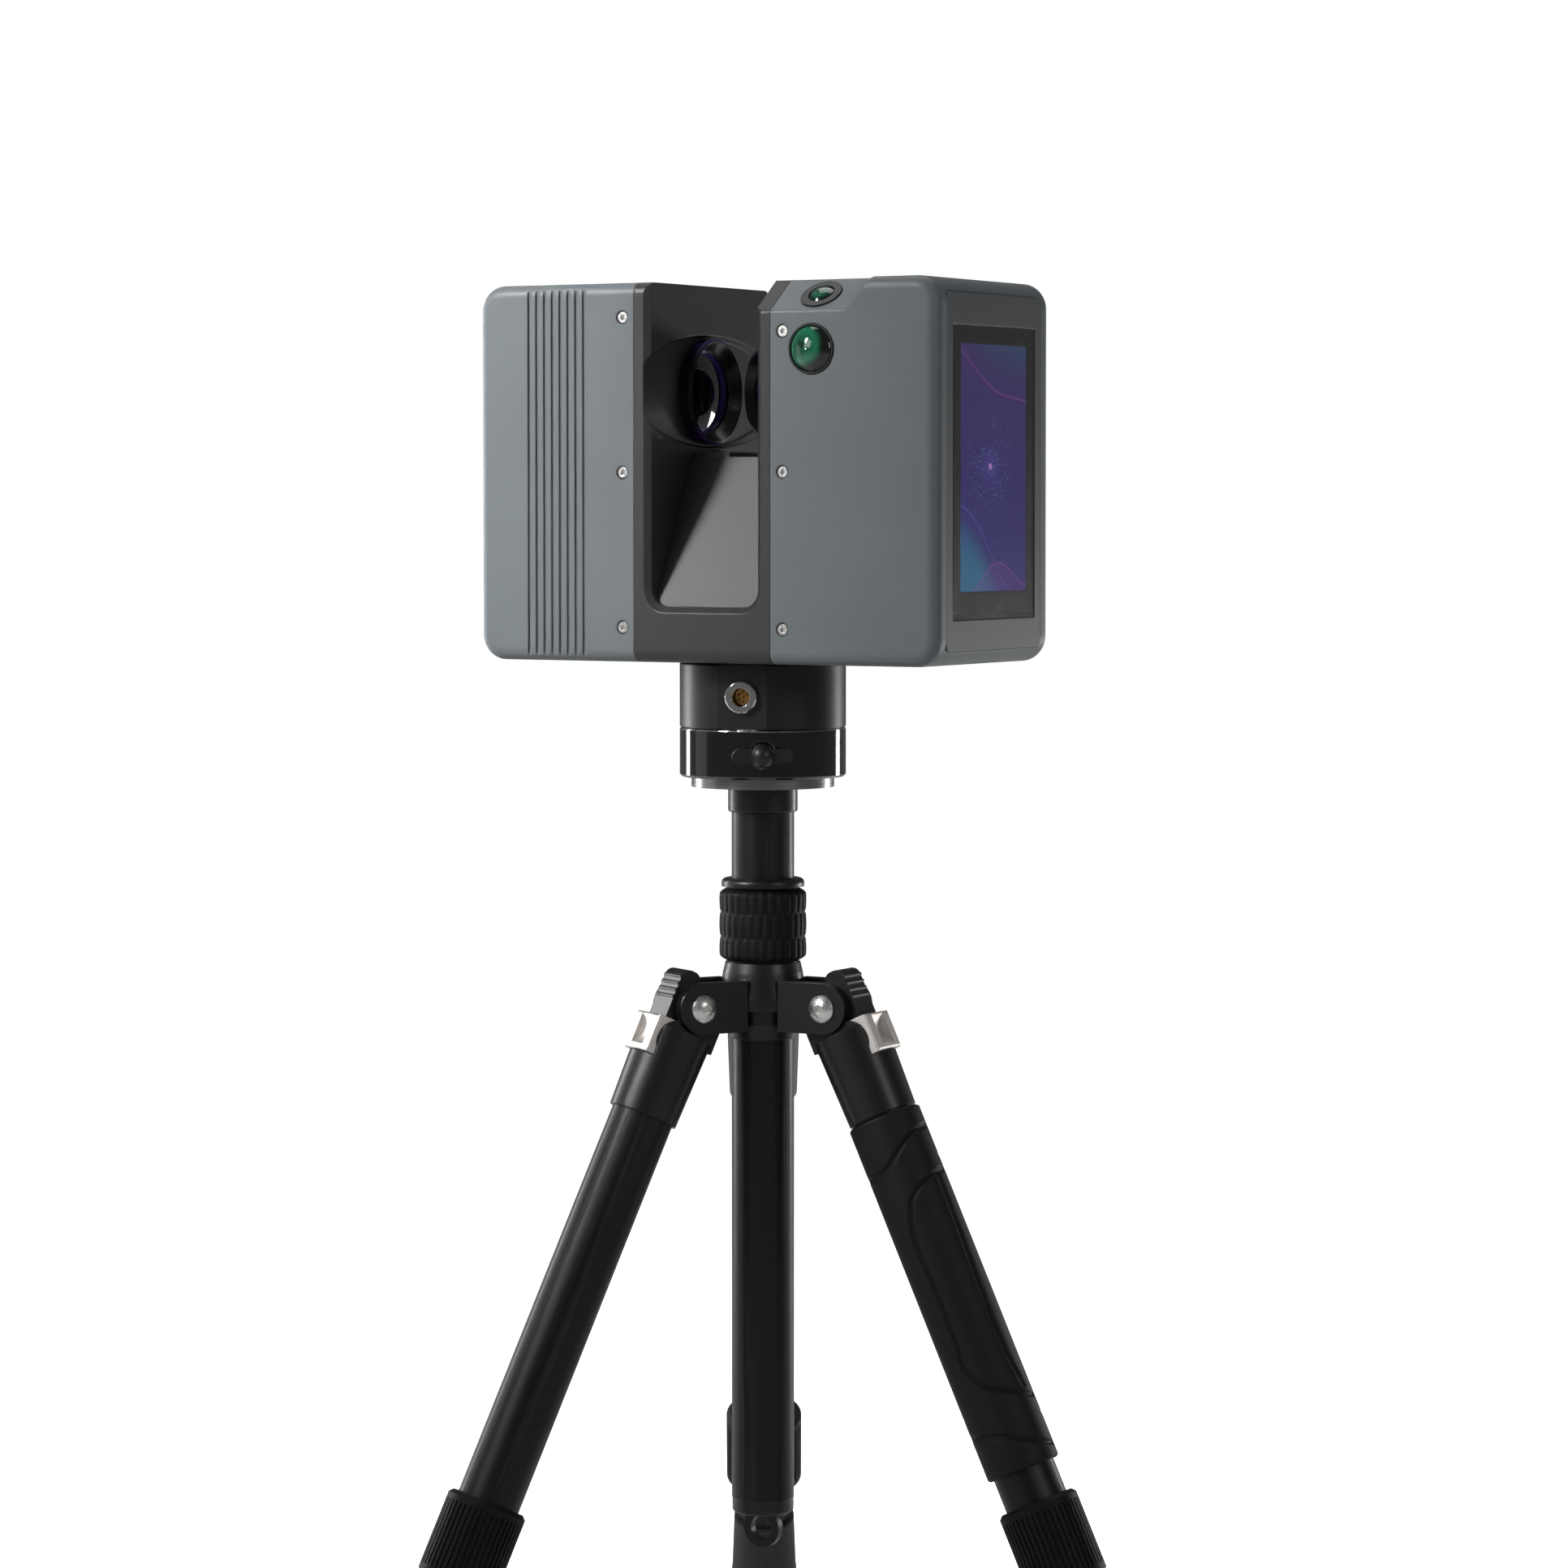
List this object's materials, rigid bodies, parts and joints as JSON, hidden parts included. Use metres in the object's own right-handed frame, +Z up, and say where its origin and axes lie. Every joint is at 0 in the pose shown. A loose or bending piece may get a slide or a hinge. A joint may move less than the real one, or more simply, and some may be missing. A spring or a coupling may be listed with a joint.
{
  "type": "terrestrial laser scanner on a tripod",
  "caption": "Slot-type laser scanner with a spinning mirror, sphere cameras and an end screen, panning on a base over a quick-release adapter, carbon column and folding tripod.",
  "frame": {"origin": "on the scanner's vertical pan axis at floor level", "axes": "+Z up the column, -Y the scanner's front, +X its screen end; leg 1 points along +X"},
  "size_m": [0.3539, 0.3874, 0.7216],
  "materials": {
    "cover_coat": "blue-grey satin paint on light alloy",
    "frame_coat": "dark grey satin coating on light alloy",
    "bezel_coat": "dark grey satin",
    "screws": "plain",
    "camera_black": "black anodised",
    "camera_glass": "green coated",
    "optic_glass": "purple coated",
    "cover_glass": "clear flat glass",
    "display": "lit panel",
    "mirror": "coated front-surface mirror",
    "rotor_black": "black anodised",
    "shaft_steel": "ground",
    "spindle_alloy": "machined",
    "motor_iron": "laminations and windings",
    "laser_case": "black anodised",
    "battery_case": "moulded",
    "board": "solder resist",
    "button": "moulded",
    "base_coat": "black satin anodised",
    "socket_chrome": "polished",
    "socket_gold": "gold plated",
    "adapter_gloss": "gloss black anodised",
    "plate_silver": "machined",
    "knob_plastic": "moulded",
    "black_alloy": "gloss black anodised",
    "carbon_tube": "carbon fibre under clear satin lacquer",
    "lock_rubber": "ribbed",
    "tab_silver": "satin",
    "foot_rubber": "matte",
    "grip_rubber": "soft, fine texture"
  },
  "bodies": {
    "crown": {"crown": "black_alloy", "column_lock_sleeve": "black_alloy", "hinge_bolts": "screws"},
    "column": {"column_tube": "carbon_tube", "column_collar": "black_alloy", "column_hook": "black_alloy", "adapter_plate": "plate_silver", "adapter_body": "adapter_gloss", "base_housing": "base_coat", "pan_bearing": "shaft_steel", "pan_motor_stator": "motor_iron", "power_socket_shell": "socket_chrome", "power_socket_insert": "socket_gold"},
    "head": {"centre_frame": "frame_coat", "left_cover": "cover_coat", "right_cover": "cover_coat", "cover_screws": "screws", "camera_barrels": "camera_black", "front_camera_lens": "camera_glass", "top_camera_lens": "camera_glass", "screen_bezel": "bezel_coat", "screen_glass": "cover_glass", "display_panel": "display", "mirror_pedestal": "frame_coat", "mirror_bearings": "shaft_steel", "mirror_motor_stator": "motor_iron", "window_ring": "camera_black", "receiver_lens": "optic_glass", "laser_module": "laser_case", "battery_packs": "battery_case", "main_board": "board", "pan_spindle": "spindle_alloy", "pan_motor_rotor": "motor_iron"},
    "mirror": {"mirror_drum": "rotor_black", "scan_mirror": "mirror", "mirror_shaft": "shaft_steel", "mirror_motor_rotor": "motor_iron", "encoder_disc": "spindle_alloy"},
    "power_button": {"power_button": "button"},
    "clamp_knob": {"clamp_knob": "knob_plastic"},
    "column_lock": {"column_lock_grip": "lock_rubber"},
    "leg_1_upper": {"leg_1_casting": "black_alloy", "leg_1_upper_tube": "carbon_tube", "leg_1_grip": "grip_rubber"},
    "leg_1_tab": {"leg_1_angle_tab": "tab_silver"},
    "leg_1_lock": {"leg_1_twist_lock": "lock_rubber"},
    "leg_1_lower": {"leg_1_lower_tube": "carbon_tube", "leg_1_foot": "foot_rubber"},
    "leg_2_upper": {"leg_2_casting": "black_alloy", "leg_2_upper_tube": "carbon_tube"},
    "leg_2_tab": {"leg_2_angle_tab": "tab_silver"},
    "leg_2_lock": {"leg_2_twist_lock": "lock_rubber"},
    "leg_2_lower": {"leg_2_lower_tube": "carbon_tube", "leg_2_foot": "foot_rubber"},
    "leg_3_upper": {"leg_3_casting": "black_alloy", "leg_3_upper_tube": "carbon_tube"},
    "leg_3_tab": {"leg_3_angle_tab": "tab_silver"},
    "leg_3_lock": {"leg_3_twist_lock": "lock_rubber"},
    "leg_3_lower": {"leg_3_lower_tube": "carbon_tube", "leg_3_foot": "foot_rubber"}
  },
  "joints": [
    {"name": "column_slide", "type": "slide", "parent": "crown", "child": "column", "axis": [0, 0, 1], "range_m": [-0.033, 0.2]},
    {"name": "column_lock_turn", "type": "hinge", "parent": "crown", "child": "column_lock", "pos_m": [0, 0, 0.39496], "axis": [0, 0, 1], "range_deg": [0, 90]},
    {"name": "head_pan", "type": "hinge", "parent": "column", "child": "head", "pos_m": [0, 0, 0.52896], "axis": [0, 0, 1], "continuous": true},
    {"name": "mirror_spin", "type": "hinge", "parent": "head", "child": "mirror", "pos_m": [0, 0, 0.66596], "axis": [1, 0, 0], "continuous": true},
    {"name": "power_press", "type": "slide", "parent": "head", "child": "power_button", "axis": [0, 0, -1], "range_m": [0, 0.001], "stiffness_N_per_m": 400, "springref_m": -0.001},
    {"name": "clamp_turn", "type": "hinge", "parent": "column", "child": "clamp_knob", "pos_m": [0.02125, -0.03681, 0.48256], "axis": [0.5, -0.866, 0], "range_deg": [0, 360]},
    {"name": "leg_1_fold", "type": "hinge", "parent": "crown", "child": "leg_1_upper", "pos_m": [0.043, 0, 0.35356], "axis": [0, -1, 0], "range_deg": [-25, 0]},
    {"name": "leg_1_tab_pull", "type": "slide", "parent": "leg_1_upper", "child": "leg_1_tab", "axis": [0.9063, 0, 0.4226], "range_m": [0, 0.003], "stiffness_N_per_m": 500, "springref_m": -0.001},
    {"name": "leg_1_lock_turn", "type": "hinge", "parent": "leg_1_upper", "child": "leg_1_lock", "pos_m": [0.16694, 0, 0.09204], "axis": [0.4226, 0, -0.9063], "range_deg": [0, 90]},
    {"name": "leg_1_slide", "type": "slide", "parent": "leg_1_upper", "child": "leg_1_lower", "axis": [0.4226, 0, -0.9063], "range_m": [0, 0.18]},
    {"name": "leg_2_fold", "type": "hinge", "parent": "crown", "child": "leg_2_upper", "pos_m": [-0.0215, 0.03724, 0.35356], "axis": [0.866, 0.5, 0], "range_deg": [-25, 0]},
    {"name": "leg_2_tab_pull", "type": "slide", "parent": "leg_2_upper", "child": "leg_2_tab", "axis": [-0.4532, 0.7849, 0.4226], "range_m": [0, 0.003], "stiffness_N_per_m": 500, "springref_m": -0.001},
    {"name": "leg_2_lock_turn", "type": "hinge", "parent": "leg_2_upper", "child": "leg_2_lock", "pos_m": [-0.08347, 0.14457, 0.09204], "axis": [-0.2113, 0.366, -0.9063], "range_deg": [0, 90]},
    {"name": "leg_2_slide", "type": "slide", "parent": "leg_2_upper", "child": "leg_2_lower", "axis": [-0.2113, 0.366, -0.9063], "range_m": [0, 0.18]},
    {"name": "leg_3_fold", "type": "hinge", "parent": "crown", "child": "leg_3_upper", "pos_m": [-0.0215, -0.03724, 0.35356], "axis": [-0.866, 0.5, 0], "range_deg": [-25, 0]},
    {"name": "leg_3_tab_pull", "type": "slide", "parent": "leg_3_upper", "child": "leg_3_tab", "axis": [-0.4532, -0.7849, 0.4226], "range_m": [0, 0.003], "stiffness_N_per_m": 500, "springref_m": -0.001},
    {"name": "leg_3_lock_turn", "type": "hinge", "parent": "leg_3_upper", "child": "leg_3_lock", "pos_m": [-0.08347, -0.14457, 0.09204], "axis": [-0.2113, -0.366, -0.9063], "range_deg": [0, 90]},
    {"name": "leg_3_slide", "type": "slide", "parent": "leg_3_upper", "child": "leg_3_lower", "axis": [-0.2113, -0.366, -0.9063], "range_m": [0, 0.18]}
  ]
}
